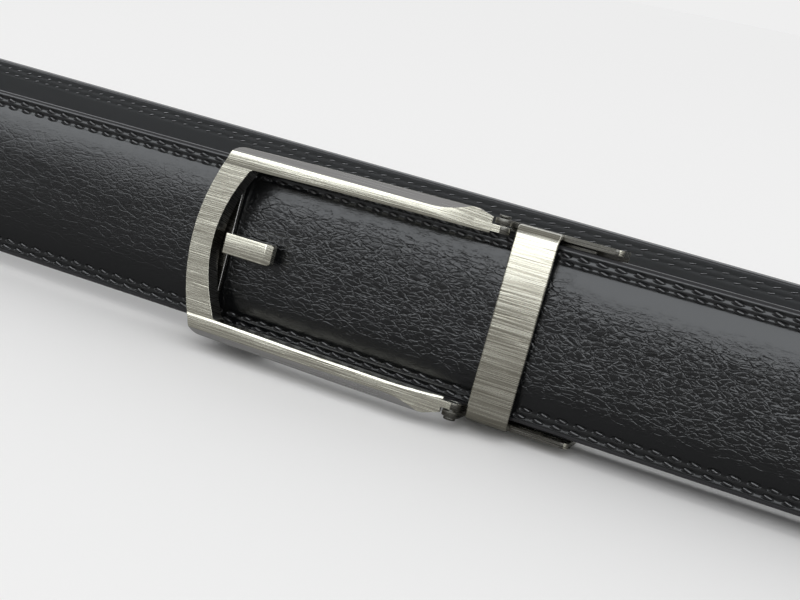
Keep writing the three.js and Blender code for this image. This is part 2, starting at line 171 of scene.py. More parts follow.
def strap_path():
    """The strap's mid surface seen from above, from its cut end to its tip, about the buckle's zero."""
    forward = Vector((1, 0))
    outward = Vector((0, -1))
    back = Vector((-1, -back_stretch_slope)).normalized()
    back_outward = Vector((back.y, -back.x))
    mid_shift = crown_thickness / 2 * math.cos(lean)
    fixed_y = fixed_front * math.cos(lean) + mid_shift
    back_start = Vector((0, back_stretch_y))

    def middle(y, x):
        """A point halfway between the front stretch and the back one."""
        return Vector((x, (y + back_stretch_y + back_stretch_slope * x) / 2))

    start = Vector((fixed_end_inset, fixed_y))
    tip = Vector((tip_reach, mid_shift))
    right_end = middle(fixed_y, right_end_x)
    left_end = middle(mid_shift, left_end_x)
    touch_1, flare_1, joint_1 = flare(start, forward, outward, right_end, -1)
    touch_2, flare_2, joint_2 = flare(back_start, back, back_outward, right_end, 1)
    touch_3, flare_3, joint_3 = flare(back_start, back, back_outward, left_end, -1)
    touch_4, flare_4, joint_4 = flare(tip, forward, outward, left_end, 1)
    taper_start = Vector((tip_reach - tip_taper, mid_shift))
    yield start, forward
    yield from line(start, touch_1)
    yield from arc(flare_1, touch_1, joint_1, -1)
    yield from arc(right_end, joint_1, joint_2, 1)
    yield from arc(flare_2, joint_2, touch_2, -1)
    yield from line(touch_2, touch_3)
    yield from arc(flare_3, touch_3, joint_3, -1)
    yield from arc(left_end, joint_3, joint_4, 1)
    yield from arc(flare_4, joint_4, touch_4, -1)
    yield from line(touch_4, taper_start, tip_row_space)
    for i in range(tip_rows):
        share = math.sin((i + 1) / tip_rows * math.pi / 2)
        yield taper_start.lerp(tip, share), forward


spots = []
headings = []
for spot, forward in strap_path():
    spots.append(spot)
    headings.append(forward)
spots = np.array(spots)
headings = np.array(headings)
steps = np.linalg.norm(np.diff(spots, axis=0), axis=1)
along = np.concatenate(([0.0], np.cumsum(steps)))
strap_length = along[-1]


def smoothstep(x, low, high):
    """A smooth step from nought to one."""
    share = np.clip((x - low) / (high - low), 0, 1)
    return share * share * (3 - 2 * share)


# The front stretch and the cut end lean back; the rest stands upright.
fixed_share = 1 - smoothstep(along, tip_reach + gap, tip_reach + gap + lean_fade)
front_from = strap_length - tip_reach - frame_length - lean_fade / 2
front_share = smoothstep(along, front_from - lean_fade, front_from)
leaning = lean * np.maximum(fixed_share, front_share)
front_lift = buckle.z - crown_thickness * math.sin(lean) - half * math.cos(lean)
fixed_lift = front_lift - fixed_front * math.sin(lean) - fixed_end_drop
lift = fixed_lift * fixed_share + front_lift * front_share
taper = np.maximum(0, 1 - (strap_length - along) / tip_taper)
width_share = np.sqrt(1 - (1 - tip_end_share ** 2) * taper ** 2)
heights = lift + half * np.cos(leaning) + crown_thickness / 2 * np.sin(leaning)


def on_strap(at, across, depth):
    """Places, outward normals and headings on the strap. Depth is from the inner face toward the crown."""
    at, across, depth = np.broadcast_arrays(np.asarray(at, float), across, depth)
    tilt = np.interp(at, along, leaning)
    hx = np.interp(at, along, headings[:, 0])
    hy = np.interp(at, along, headings[:, 1])
    size = np.hypot(hx, hy)
    hx, hy = hx / size, hy / size
    normal = np.stack((hy * np.cos(tilt), -hx * np.cos(tilt), np.sin(tilt)), -1)
    upward = np.stack((-hy * np.sin(tilt), hx * np.sin(tilt), np.cos(tilt)), -1)
    centre = np.stack((
        np.interp(at, along, spots[:, 0]) + buckle.x,
        np.interp(at, along, spots[:, 1]) + buckle.y,
        np.interp(at, along, heights),
    ), -1)
    place = centre + normal * (depth - crown_thickness / 2)[..., None] + upward * across[..., None]
    forward = np.stack((hx, hy, np.zeros_like(hx)), -1)
    return place, normal, forward


# One half of the section, from the crown over the margin and round the painted edge to the inner face.
# Each row of stitches pulls a shallow groove into the leather, on both faces.
crown_edge = 0.84 * half
crown_power = 2.9
outer_round = 0.0008
inner_round = 0.0004
stitch_pitch = 0.0036
stitch_insets = (0.0016, 0.0031)
groove_depth = 0.00007
groove_width = 0.00036
groove_from = half - 0.0042
crown_steps = 12
margin_steps = 18
lining_steps = 5
outer_round_steps = 6
inner_round_steps = 4


def groove(across):
    """How deep the stitches' grooves are at a distance from the middle."""
    distances = [(across - half + inset) / groove_width for inset in stitch_insets]
    return groove_depth * sum(math.exp(-distance ** 2) for distance in distances)


def crown_depth(across):
    """How far the outer face stands from the inner one, over a filler that thins toward the stitches."""
    share = min(1, across / crown_edge)
    crown = (crown_thickness - margin_thickness) * (1 - share ** crown_power)
    return margin_thickness + crown - groove(across)


outer_spots = [groove_from * math.sin(i / crown_steps * math.pi / 2) for i in range(crown_steps + 1)]
outer_spots += list(np.linspace(groove_from, half - outer_round, margin_steps)[1:-1])
outer_columns = [(across, crown_depth(across)) for across in outer_spots]
outer_arc = [
    (half - outer_round * (1 - math.sin(a)), margin_thickness - outer_round * (1 - math.cos(a)))
    for a in np.linspace(0, math.pi / 2, outer_round_steps)
]
inner_arc = [
    (half - inner_round * (1 - math.cos(a)), inner_round * (1 - math.sin(a)))
    for a in np.linspace(0, math.pi / 2, inner_round_steps)
]
inner_columns = [(x, groove(x)) for x in np.linspace(half - inner_round, groove_from, margin_steps)[1:]]
inner_columns += [(groove_from * (1 - i / lining_steps), 0.0) for i in range(1, lining_steps + 1)]
half_section = outer_columns + outer_arc + inner_arc + inner_columns
section = half_section + [(-across, depth) for across, depth in half_section[-2:0:-1]]
section_across = np.array([across for across, _ in section])
section_depth = np.array([depth for _, depth in section])
closed = np.array(section + section[:1])
round_steps = np.linalg.norm(np.diff(closed, axis=0), axis=1)
round_at = np.concatenate(([0.0], np.cumsum(round_steps)))
girth = round_at[-1]
outer_end = round_at[len(outer_columns)]
inner_start = round_at[len(half_section) - len(inner_columns) - 1]

rows, columns = len(along), len(section)
crown_share = np.sqrt(width_share)[:, None]
flat_depth = np.minimum(section_depth, margin_thickness)[None, :]
depths = flat_depth + (section_depth[None, :] - flat_depth) * crown_share
places, _, _ = on_strap(along[:, None], section_across[None, :] * width_share[:, None], depths)
corners = places.reshape(-1, 3)
faces = []
kinds = []
charts = []
for row in range(rows - 1):
    for column in range(columns):
        after = (column + 1) % columns
        first, second = row * columns + column, row * columns + after
        faces.append((first, second, second + columns, first + columns))
        low, high = round_at[column], round_at[column + 1]
        middle = (low + high) / 2
        if middle > girth / 2:
            low, high, middle = low - girth, high - girth, girth - middle
        kinds.append(0 if middle < outer_end else 1 if middle < inner_start else 2)
        near, far = along[row], along[row + 1]
        charts += [(near, low), (near, high), (far, high), (far, low)]
for row in (0, rows - 1):
    faces.append([row * columns + column for column in range(columns)])
    kinds.append(1)
    charts += [(along[row], x) for x in section_across]

strap_mesh = bpy.data.meshes.new("strap_leather")
strap_mesh.from_pydata(corners.tolist(), [], faces)
chart = strap_mesh.uv_layers.new(name="strap")
chart.data.foreach_set("uv", np.array(charts, np.float32).ravel())
strap_mesh.polygons.foreach_set("material_index", kinds)
shape = bmesh.new()
shape.from_mesh(strap_mesh)
bmesh.ops.recalc_face_normals(shape, faces=shape.faces)
shape.to_mesh(strap_mesh)
shape.free()
strap_mesh.shade_smooth()
strap = bpy.data.objects.new("strap_leather", strap_mesh)
bpy.context.scene.collection.objects.link(strap)


def node(tree, kind, inputs=None, **settings):
    """Adds a node. Inputs are given by socket name or number, as a value or as another node's output."""
    made = tree.nodes.new(kind)
    for name, value in settings.items():
        setattr(made, name, value)
    for key, value in (inputs or {}).items():
        if isinstance(value, bpy.types.NodeSocket):
            tree.links.new(value, made.inputs[key])
        else:
            made.inputs[key].default_value = value
    return made


def calc(tree, operation, first, second=0.0, third=0.0):
    """The result of a math node."""
    return node(tree, "ShaderNodeMath", {0: first, 1: second, 2: third}, operation=operation).outputs[0]


def ramp(tree, value, low, high, start=0.0, end=1.0):
    """A smooth step of a value from one number to another."""
    made = node(tree, "ShaderNodeMapRange", {
        "Value": value,
        "From Min": low,
        "From Max": high,
        "To Min": start,
        "To Max": end,
    }, interpolation_type="SMOOTHSTEP")
    return made.outputs["Result"]


def finish_material(name, color, roughness, metallic=0.0):
    """A material, its tree and its shader."""
    made = bpy.data.materials.new(name)
    made.use_nodes = True
    shader = made.node_tree.nodes["Principled BSDF"]
    shader.inputs["Base Color"].default_value = (*color, 1)
    shader.inputs["Roughness"].default_value = roughness
    shader.inputs["Metallic"].default_value = metallic
    return made, made.node_tree, shader


stitch_shifts = (0.0, 0.22)
dent_length = 0.00125
dent_width = 0.00052
dent_depth = 0.00024
dent_floor = 0.2
dent_rim = 1.3


def stitch_dents(tree, at, side, centre_line):
    """How deep the leather is pulled in round the stitches: one at each stitch, nought between them.

    Side is the distance from the section's middle, and the centre line's own distance is that of the edge.
    """
    total = None
    for inset, shift in zip(stitch_insets, stitch_shifts):
        turns = calc(tree, "ADD", calc(tree, "DIVIDE", at, stitch_pitch), 0.5 - shift)
        phase = calc(tree, "SUBTRACT", calc(tree, "FRACT", turns), 0.5)
        lengthwise = calc(tree, "MULTIPLY", phase, stitch_pitch / dent_length)
        sideways = calc(tree, "DIVIDE", calc(tree, "SUBTRACT", side, centre_line - inset), dent_width)
        square = calc(tree, "MULTIPLY", sideways, sideways)
        square = calc(tree, "MULTIPLY_ADD", lengthwise, lengthwise, square)
        dent = ramp(tree, square, dent_rim, dent_floor)
        total = dent if total is None else calc(tree, "MAXIMUM", total, dent)
    return total


# A pebble of the grain is about 1.9 mm along the strap and 0.9 mm across it, and a fold goes round a few.
leather_shine = 0.52
grain_along = 520.0
grain_across = 1120.0
fold_scale = 0.5
pebble_depth = 0.000025
fold_depth = 0.000048
dome_depth = 0.000014
pore_depth = 0.000006
speckle_depth = 0.000021
swell_depth = 0.00014
coarse_fade = (0.0016, 0.0056)
speckle_fade = 0.0026
grain_edge_wander = 0.006
smooth_band = 0.0036
smooth_band_from = 0.008
smooth_band_full = 0.02
flexed_from = 0.19
flexed_full = 0.11
unflexed_share = 0.34
coarse_speckle_share = 0.35


def leather(name, color, roughness, edge_line, grained):
    """Finished leather: the stitches' dents are pressed into it and darkened there as painted shade, and
    the padded middle may be grained.
    """
    made, tree, shader = finish_material(name, color, roughness)
    shader.inputs["Specular IOR Level"].default_value = leather_shine
    chart = node(tree, "ShaderNodeUVMap", uv_map="strap").outputs[0]
    chart = node(tree, "ShaderNodeSeparateXYZ", {0: chart})
    at, around = chart.outputs[0], chart.outputs[1]
    side = calc(tree, "ABSOLUTE", around)
    stretched = node(tree, "ShaderNodeCombineXYZ", {
        0: calc(tree, "MULTIPLY", at, grain_along),
        1: calc(tree, "MULTIPLY", around, grain_across),
    }).outputs[0]
    pores = node(tree, "ShaderNodeTexNoise", {"Vector": stretched, "Scale": 4.2, "Detail": 3.0}).outputs[0]
    swell = node(tree, "ShaderNodeTexNoise", {"Vector": stretched, "Scale": 0.13, "Detail": 1.0}).outputs[0]
    height = calc(tree, "MULTIPLY_ADD", pores, pore_depth, calc(tree, "MULTIPLY", swell, swell_depth))
    rough = calc(tree, "MULTIPLY_ADD", pores, 0.06, roughness)
    if grained:
        # The grain dies out toward the stitches, and further in along the upper side of the tip. It is
        # plainest where the strap has been bent most, at the buckle and along the tip.
        wander = node(tree, "ShaderNodeTexNoise", {"Vector": stretched, "Scale": 0.9, "Detail": 2.0})
        wandered = node(tree, "ShaderNodeVectorMath", {
            0: wander.outputs["Color"],
            1: (1.1, 1.1, 0.0),
            2: stretched,
        }, operation="MULTIPLY_ADD").outputs[0]
        upper = ramp(tree, around, -0.002, 0.002)
        tip_start = strap_length - tip_reach
        near_tip = ramp(tree, at, tip_start + smooth_band_from, tip_start + smooth_band_full)
        wider = calc(tree, "MULTIPLY", calc(tree, "MULTIPLY", upper, near_tip), smooth_band)
        reach = calc(tree, "ADD", side, wider)
        off_centre = calc(tree, "SUBTRACT", wander.outputs[0], 0.5)
        ragged = calc(tree, "MULTIPLY_ADD", off_centre, grain_edge_wander, reach)
        coarse = ramp(tree, ragged, crown_edge - coarse_fade[0], crown_edge - coarse_fade[1])
        flexed = ramp(tree, at, strap_length - flexed_from, strap_length - flexed_full, unflexed_share, 1.0)
        coarse = calc(tree, "MULTIPLY", coarse, flexed)
        speckled = ramp(tree, ragged, crown_edge, crown_edge - speckle_fade)
        fewer = ramp(tree, coarse, 0.0, 1.0, 1.0, coarse_speckle_share)
        speckled = calc(tree, "MULTIPLY", speckled, fewer)
        pebbles = node(tree, "ShaderNodeTexVoronoi", {
            "Vector": wandered,
            "Scale": 1.0,
        }, feature="DISTANCE_TO_EDGE").outputs["Distance"]
        folds = node(tree, "ShaderNodeTexVoronoi", {
            "Vector": wandered,
            "Scale": fold_scale,
        }, feature="DISTANCE_TO_EDGE").outputs["Distance"]
        pebble_height = ramp(tree, pebbles, 0.0, 0.13, 0.0, pebble_depth)
        fold_height = ramp(tree, folds, 0.0, 0.085, 0.0, fold_depth)
        dome_height = ramp(tree, pebbles, 0.0, 0.6, 0.0, dome_depth)
        grain = calc(tree, "ADD", calc(tree, "ADD", pebble_height, fold_height), dome_height)
        height = calc(tree, "MULTIPLY_ADD", grain, coarse, height)
        height = calc(tree, "MULTIPLY_ADD", calc(tree, "MULTIPLY", pores, speckled), speckle_depth, height)
        rough = calc(tree, "MULTIPLY_ADD", speckled, 0.05, rough)
    dents_and_painted_shade = stitch_dents(tree, at, side, edge_line)
    height = calc(tree, "MULTIPLY_ADD", dents_and_painted_shade, -dent_depth, height)
    bump = node(tree, "ShaderNodeBump", {"Height": height, "Strength": 1.0, "Distance": 1.0})
    tree.links.new(bump.outputs[0], shader.inputs["Normal"])
    rough = calc(tree, "MULTIPLY_ADD", dents_and_painted_shade, 0.75, rough)
    tree.links.new(rough, shader.inputs["Roughness"])
    # Painted shade: inside the stitches' dents the base colour falls to a tenth, as though they lay in
    # shadow.
    shade = node(tree, "ShaderNodeMix", {
        "Factor": dents_and_painted_shade,
        6: (*color, 1),
        7: (color[0] * 0.1, color[1] * 0.1, color[2] * 0.1, 1),
    }, data_type="RGBA")
    tree.links.new(shade.outputs[2], shader.inputs["Base Color"])
    return made


black_dye = (0.0046, 0.0050, 0.0055)
# The lining's own colour is near black. It is raised about tenfold as painted sheen, for the light the
# lining catches.
lining_dye_and_painted_sheen = (0.043, 0.045, 0.047)
outer_leather = leather("grained_leather", black_dye, 0.125, outer_end + outer_round, True)
lining_leather = leather("lining_leather", lining_dye_and_painted_sheen, 0.40, inner_start - inner_round, False)
edge_paint, tree, shader = finish_material("edge_paint", (0.026, 0.026, 0.028), 0.2)
chart = node(tree, "ShaderNodeUVMap", uv_map="strap").outputs[0]
ripple = node(tree, "ShaderNodeTexNoise", {"Vector": chart, "Scale": 420.0, "Detail": 2.0})
bump = node(tree, "ShaderNodeBump", {"Height": ripple.outputs[0], "Strength": 0.4, "Distance": 0.0001})
tree.links.new(bump.outputs[0], shader.inputs["Normal"])
for made in (outer_leather, edge_paint, lining_leather):
    strap_mesh.materials.append(made)
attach(strap, "root")
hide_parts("strap")


# Stitches
# Two rows of waxed thread along each margin, sewn through both faces, and round the tip. Each stitch is
# a short arch of thread whose ends go down into the leather; they slant a little, as a lockstitch does.
thread_width = 0.0005
stitch_length = 0.0021
stitch_arch = 0.0002
stitch_slant = math.radians(16)
stitch_seat = 0.0001
stitch_wobble = 0.09
shortest_stitch = 0.92
longest_stitch = 1.06
thread_steps = 7


def stitch_tree():
    """Geometry nodes that lay one stitch at each point, along its heading and on its face."""
    tree = bpy.data.node_groups.new("stitches", "GeometryNodeTree")
    tree.interface.new_socket("Rows", in_out="INPUT", socket_type="NodeSocketGeometry")
    for name in ("Length", "Thread", "Arch", "Slant"):
        tree.interface.new_socket(name, in_out="INPUT", socket_type="NodeSocketFloat")
    tree.interface.new_socket("Seed", in_out="INPUT", socket_type="NodeSocketInt")
    tree.interface.new_socket("Finish", in_out="INPUT", socket_type="NodeSocketMaterial")
    tree.interface.new_socket("Stitches", in_out="OUTPUT", socket_type="NodeSocketGeometry")
    given = node(tree, "NodeGroupInput").outputs
    end = calc(tree, "MULTIPLY", given["Length"], 0.5)
    sunk = calc(tree, "MULTIPLY", given["Thread"], -0.75)
    top = calc(tree, "MULTIPLY", given["Arch"], 2.0)
    start_point = node(tree, "ShaderNodeCombineXYZ", {0: calc(tree, "MULTIPLY", end, -1.0), 2: sunk})
    top_point = node(tree, "ShaderNodeCombineXYZ", {2: top})
    end_point = node(tree, "ShaderNodeCombineXYZ", {0: end, 2: sunk})
    arch = node(tree, "GeometryNodeCurveQuadraticBezier", {
        "Resolution": thread_steps,
        "Start": start_point.outputs[0],
        "Middle": top_point.outputs[0],
        "End": end_point.outputs[0],
    })
    circle = node(tree, "GeometryNodeCurvePrimitiveCircle", {
        "Resolution": thread_steps,
        "Radius": calc(tree, "MULTIPLY", given["Thread"], 0.5),
    })
    thread = node(tree, "GeometryNodeCurveToMesh", {
        "Curve": arch.outputs[0],
        "Profile Curve": circle.outputs[0],
        "Fill Caps": True,
    })
    face = node(tree, "GeometryNodeInputNamedAttribute", {"Name": "outward"}, data_type="FLOAT_VECTOR")
    forward = node(tree, "GeometryNodeInputNamedAttribute", {"Name": "forward"}, data_type="FLOAT_VECTOR")
    upright = node(tree, "FunctionNodeAxesToRotation", {
        0: face.outputs[0],
        1: forward.outputs[0],
    }, primary_axis="Z", secondary_axis="X")
    wobble = node(tree, "FunctionNodeRandomValue", {
        2: -stitch_wobble,
        3: stitch_wobble,
        "Seed": given["Seed"],
    }, data_type="FLOAT")
    turn = node(tree, "ShaderNodeCombineXYZ", {2: calc(tree, "ADD", wobble.outputs[1], given["Slant"])})
    turned = node(tree, "FunctionNodeRotateRotation", {
        0: upright.outputs[0],
        1: turn.outputs[0],
    }, rotation_space="LOCAL")
    size = node(tree, "FunctionNodeRandomValue", {
        2: shortest_stitch,
        3: longest_stitch,
        "Seed": calc(tree, "ADD", given["Seed"], 1.0),
    }, data_type="FLOAT")
    laid = node(tree, "GeometryNodeInstanceOnPoints", {
        "Points": given["Rows"],
        "Instance": thread.outputs[0],
        "Rotation": turned.outputs[0],
        "Scale": size.outputs[1],
    })
    real = node(tree, "GeometryNodeRealizeInstances", {0: laid.outputs[0]})
    smooth = node(tree, "GeometryNodeSetShadeSmooth", {0: real.outputs[0]})
    painted = node(tree, "GeometryNodeSetMaterial", {0: smooth.outputs[0], "Material": given["Finish"]})
    node(tree, "NodeGroupOutput", {0: painted.outputs[0]})
    return tree


def half_width(at):
    """Half the strap's width, which narrows at the tip."""
    return half * np.interp(at, along, width_share)


def stitch_points(inner):
    """Place, outward normal and heading of each stitch on one face of the strap."""
    spots_3d, outwards, forwards = [], [], []
    look_ahead = 0.0005
    depth = stitch_seat if inner else margin_thickness - stitch_seat
    straight_end = strap_length - tip_taper
    for inset, shift in zip(stitch_insets, stitch_shifts):
        first = 1 + shift
        count = int((straight_end / stitch_pitch) - first)
        at = (np.arange(count) + first) * stitch_pitch
        for side in (1, -1):
            place, normal, forward = on_strap(at, side * (half - inset), depth)
            spots_3d.append(place)
            outwards.append(normal)
            forwards.append(forward)
        # Round the tip the row follows the edge, at equal spaces along the flat leather.
        reach = np.linspace(straight_end, strap_length - inset, 60)
        across = np.maximum(0.0, half_width(reach) - inset)
        outline = np.concatenate((np.stack((reach, across), 1), np.stack((reach, -across), 1)[::-1]))
        lengths = np.concatenate(([0.0], np.cumsum(np.linalg.norm(np.diff(outline, axis=0), axis=1))))
        count = round(lengths[-1] / stitch_pitch)
        marks = (np.arange(count) + 0.5) * lengths[-1] / count
        at = np.interp(marks, lengths, outline[:, 0])
        across = np.interp(marks, lengths, outline[:, 1])
        ahead_at = np.interp(marks + look_ahead, lengths, outline[:, 0])
        ahead_across = np.interp(marks + look_ahead, lengths, outline[:, 1])
        place, normal, _ = on_strap(at, across, depth)
        further, _, _ = on_strap(ahead_at, ahead_across, depth)
        spots_3d.append(place)
        outwards.append(normal)
        forwards.append(further - place)
    outward = np.concatenate(outwards) * (-1 if inner else 1)
    return np.concatenate(spots_3d), outward, np.concatenate(forwards)


thread_finish, tree, shader = finish_material("waxed_thread", (0.016, 0.016, 0.018), 0.3)
shader.inputs["Specular IOR Level"].default_value = 1.0
shader.inputs["Coat Weight"].default_value = 1.0
shader.inputs["Coat Roughness"].default_value = 0.2
spot = node(tree, "ShaderNodeTexCoord").outputs["Object"]
strands = node(tree, "ShaderNodeTexNoise", {"Vector": spot, "Scale": 6000.0, "Detail": 1.0})
bump = node(tree, "ShaderNodeBump", {"Height": strands.outputs[0], "Strength": 0.35, "Distance": 0.00008})
tree.links.new(bump.outputs[0], shader.inputs["Normal"])

stitches = stitch_tree()
for name, inner in (("stitches_outer", False), ("stitches_inner", True)):
    places, outward, forward = stitch_points(inner)
    rows_mesh = bpy.data.meshes.new(name + "_rows")
    rows_mesh.from_pydata(places.tolist(), [], [])
    for label, values in (("outward", outward), ("forward", forward)):
        attribute = rows_mesh.attributes.new(label, "FLOAT_VECTOR", "POINT")
        attribute.data.foreach_set("vector", values.astype(np.float32).ravel())
    rows_object = bpy.data.objects.new(name + "_rows", rows_mesh)
    bpy.context.scene.collection.objects.link(rows_object)
    modifier = rows_object.modifiers.new("Stitches", "NODES")
    modifier.node_group = stitches
    settings = {
        "Length": stitch_length,
        "Thread": thread_width,
        "Arch": stitch_arch,
        "Slant": stitch_slant if inner else -stitch_slant,
        "Seed": 7,
        "Finish": thread_finish,
    }
    for socket in stitches.interface.items_tree:
        if socket.in_out == "INPUT" and socket.name in settings:
            modifier[socket.identifier] = settings[socket.name]
    rows_object.update_tag()
    graph = bpy.context.evaluated_depsgraph_get()
    sewn_mesh = bpy.data.meshes.new_from_object(rows_object.evaluated_get(graph), depsgraph=graph)
    bpy.data.objects.remove(rows_object)
    sewn = bpy.data.objects.new(name, sewn_mesh)
    bpy.context.scene.collection.objects.link(sewn)
    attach(sewn, "root")


# Ratchet track
# A black nylon strip of teeth, sewn to the inner face of the tip, which the buckle's pawl clicks along.
nylon, tree, shader = finish_material("track_nylon", (0.018, 0.018, 0.018), 0.45)
spot = node(tree, "ShaderNodeTexCoord").outputs["Object"]
mould = node(tree, "ShaderNodeTexNoise", {"Vector": spot, "Scale": 2600.0, "Detail": 2.0})
bump = node(tree, "ShaderNodeBump", {"Height": mould.outputs[0], "Strength": 0.25, "Distance": 0.00005})
tree.links.new(bump.outputs[0], shader.inputs["Normal"])
tree.links.new(ramp(tree, mould.outputs[0], 0.3, 0.7, 0.38, 0.52), shader.inputs["Roughness"])
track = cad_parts["ratchet_track"]
track.data.materials.clear()
track.data.materials.append(nylon)


# Buckle
# Zinc castings and pressed steel, nickel plated. They are brushed along the strap and then lacquered, so
# every visible face carries fine lines along X, and each edge is eased enough to catch the light.
heel_start = buckle.x - 0.0131
heel_blend_before = 0.004
heel_blend_after = 0.003
arm_spread = 0.0006
arm_spread_end = buckle.x - 0.0074
arm_spread_length = 0.046
rolled_edge_width = 0.0005
rolled_edge_depth = 0.000075


def brushed(name, color, dark_color, roughness, depth, crown=0.0, crown_from=0.0, crown_middle=0.0):
    """Nickel brushed along X: long fine scratches, a few deep ones, and slow changes of tone.

    A crowned face rounds away from its middle, which is given as a distance from the buckle's own middle.
    Where the crown starts at a distance too, the face is an arm's: it flattens at the heel, and its inner
    edge is rolled over.
    """
    made, tree, shader = finish_material(name, color, roughness, 1.0)
    place = node(tree, "ShaderNodeTexCoord").outputs["Object"]
    spot = node(tree, "ShaderNodeSeparateXYZ", {0: place}).outputs
    across_brush = calc(tree, "MULTIPLY_ADD", spot[1], 0.45, spot[2])

    def lines(along_scale, across_scale, detail):
        """Noise drawn out along the brush, with its scales in features per metre."""
        stretched = node(tree, "ShaderNodeCombineXYZ", {
            0: calc(tree, "MULTIPLY", spot[0], along_scale),
            1: calc(tree, "MULTIPLY", across_brush, across_scale),
        })
        return node(tree, "ShaderNodeTexNoise", {
            "Vector": stretched.outputs[0],
            "Scale": 1.0,
            "Detail": detail,
            "Roughness": 0.65,
        }).outputs[0]

    fine = lines(40.0, 5000.0, 2.0)
    deep = lines(70.0, 2900.0, 1.0)
    tone = lines(25.0, 500.0, 2.0)
    scratch = ramp(tree, deep, 0.60, 0.74)
    mixed = calc(tree, "MULTIPLY_ADD", fine, 0.8, calc(tree, "MULTIPLY", tone, 0.2))
    darker = calc(tree, "MAXIMUM", ramp(tree, mixed, 0.60, 0.40), scratch)
    shade = node(tree, "ShaderNodeMix", {
        "Factor": darker,
        6: (*color, 1),
        7: (*dark_color, 1),
    }, data_type="RGBA")
    tree.links.new(shade.outputs[2], shader.inputs["Base Color"])
    rough = ramp(tree, fine, 0.3, 0.7, roughness - 0.06, roughness + 0.08)
    tree.links.new(rough, shader.inputs["Roughness"])
    height = calc(tree, "MULTIPLY_ADD", scratch, -0.8, fine)
    height = calc(tree, "MULTIPLY", height, depth)
    if crown:
        upward = calc(tree, "MULTIPLY", calc(tree, "SUBTRACT", spot[2], buckle.z), math.cos(lean))
        backward = calc(tree, "MULTIPLY", calc(tree, "SUBTRACT", spot[1], buckle.y), math.sin(lean))
        from_middle = calc(tree, "ABSOLUTE", calc(tree, "ADD", upward, backward))
        on_face = calc(tree, "MAXIMUM", calc(tree, "SUBTRACT", from_middle, crown_from), 0.0)
        off_ridge = calc(tree, "SUBTRACT", on_face, crown_middle - crown_from)
        square = calc(tree, "MULTIPLY", off_ridge, off_ridge)
        fall = -crown
        if crown_from:
            blend_end = heel_start + heel_blend_after
            fall = ramp(tree, spot[0], blend_end, heel_start - heel_blend_before, 0.0, -crown)
        height = calc(tree, "MULTIPLY_ADD", square, fall, height)
    if crown_from:
        # The arms spread a little toward the heel, so the inner edge moves outward along them.
        short_of_heel = calc(tree, "SUBTRACT", arm_spread_end, spot[0])
        short_of_heel = calc(tree, "DIVIDE", short_of_heel, arm_spread_length)
        short_of_heel = calc(tree, "MINIMUM", calc(tree, "MAXIMUM", short_of_heel, 0.0), 1.0)
        square = calc(tree, "MULTIPLY", short_of_heel, short_of_heel)
        spread = calc(tree, "MULTIPLY_ADD", square, -arm_spread, arm_spread)
        from_edge = calc(tree, "SUBTRACT", from_middle, calc(tree, "ADD", spread, crown_from))
        rolled = ramp(tree, from_edge, 0.0, rolled_edge_width, -rolled_edge_depth, 0.0)
        height = calc(tree, "ADD", height, rolled)
    bump = node(tree, "ShaderNodeBump", {"Height": height, "Strength": 1.0, "Distance": 1.0})
    tree.links.new(bump.outputs[0], shader.inputs["Normal"])
    shader.inputs["Coat Weight"].default_value = 0.6
    shader.inputs["Coat Roughness"].default_value = 0.08
    return made


brush_depth = 0.000013
polish_depth = 0.000002
nickel_tone = (0.76, 0.74, 0.63)
nickel_lines = (0.47, 0.45, 0.37)
# The keeper is the same brushed nickel as the frame, painted darker as shade so the panel's highlight on
# its top stays below white.
keeper_painted_shade_tone = (0.61, 0.59, 0.50)
keeper_painted_shade_lines = (0.33, 0.31, 0.25)
# Polished nickel is the frame bevels' own brighter finish. On the housing's eased edges it is a painted
# highlight.
polished_and_painted_highlight_tone = (0.82, 0.81, 0.80)
polished_and_painted_highlight_lines = (0.72, 0.71, 0.70)
# Painted shade: a much darker copy of the nickel, for the parts and faces that lie in shadow in and under
# the buckle.
painted_shade_tone = (0.14, 0.135, 0.12)
painted_shade_lines = (0.07, 0.066, 0.055)
nickel = brushed("brushed_nickel", nickel_tone, nickel_lines, 0.24, brush_depth)
frame_nickel = brushed(
    "frame_nickel", nickel_tone, nickel_lines, 0.22, brush_depth,
    crown=38.0, crown_from=0.0156, crown_middle=0.0171,
)
prong_nickel = brushed("prong_nickel", nickel_tone, nickel_lines, 0.22, brush_depth, crown=22.0)
# The keeper's darker tone is painted shade.
keeper_nickel = brushed("keeper_nickel", keeper_painted_shade_tone, keeper_painted_shade_lines, 0.22, brush_depth, crown=3.0)
polished_and_painted_highlight_nickel = brushed("polished_and_painted_highlight_nickel", polished_and_painted_highlight_tone, polished_and_painted_highlight_lines, 0.21, polish_depth)
# The nickel painted dark as shade.
painted_shade_nickel = brushed("painted_shade_nickel", painted_shade_tone, painted_shade_lines, 0.28, brush_depth)

buckle_front = Vector((0, -math.cos(lean), math.sin(lean)))
heel_end = buckle.x - 0.0044
ears_end = buckle.x - 0.0002
merge_distance = 2e-6
flat_angle = math.radians(0.6)
easing_angle = math.radians(22)


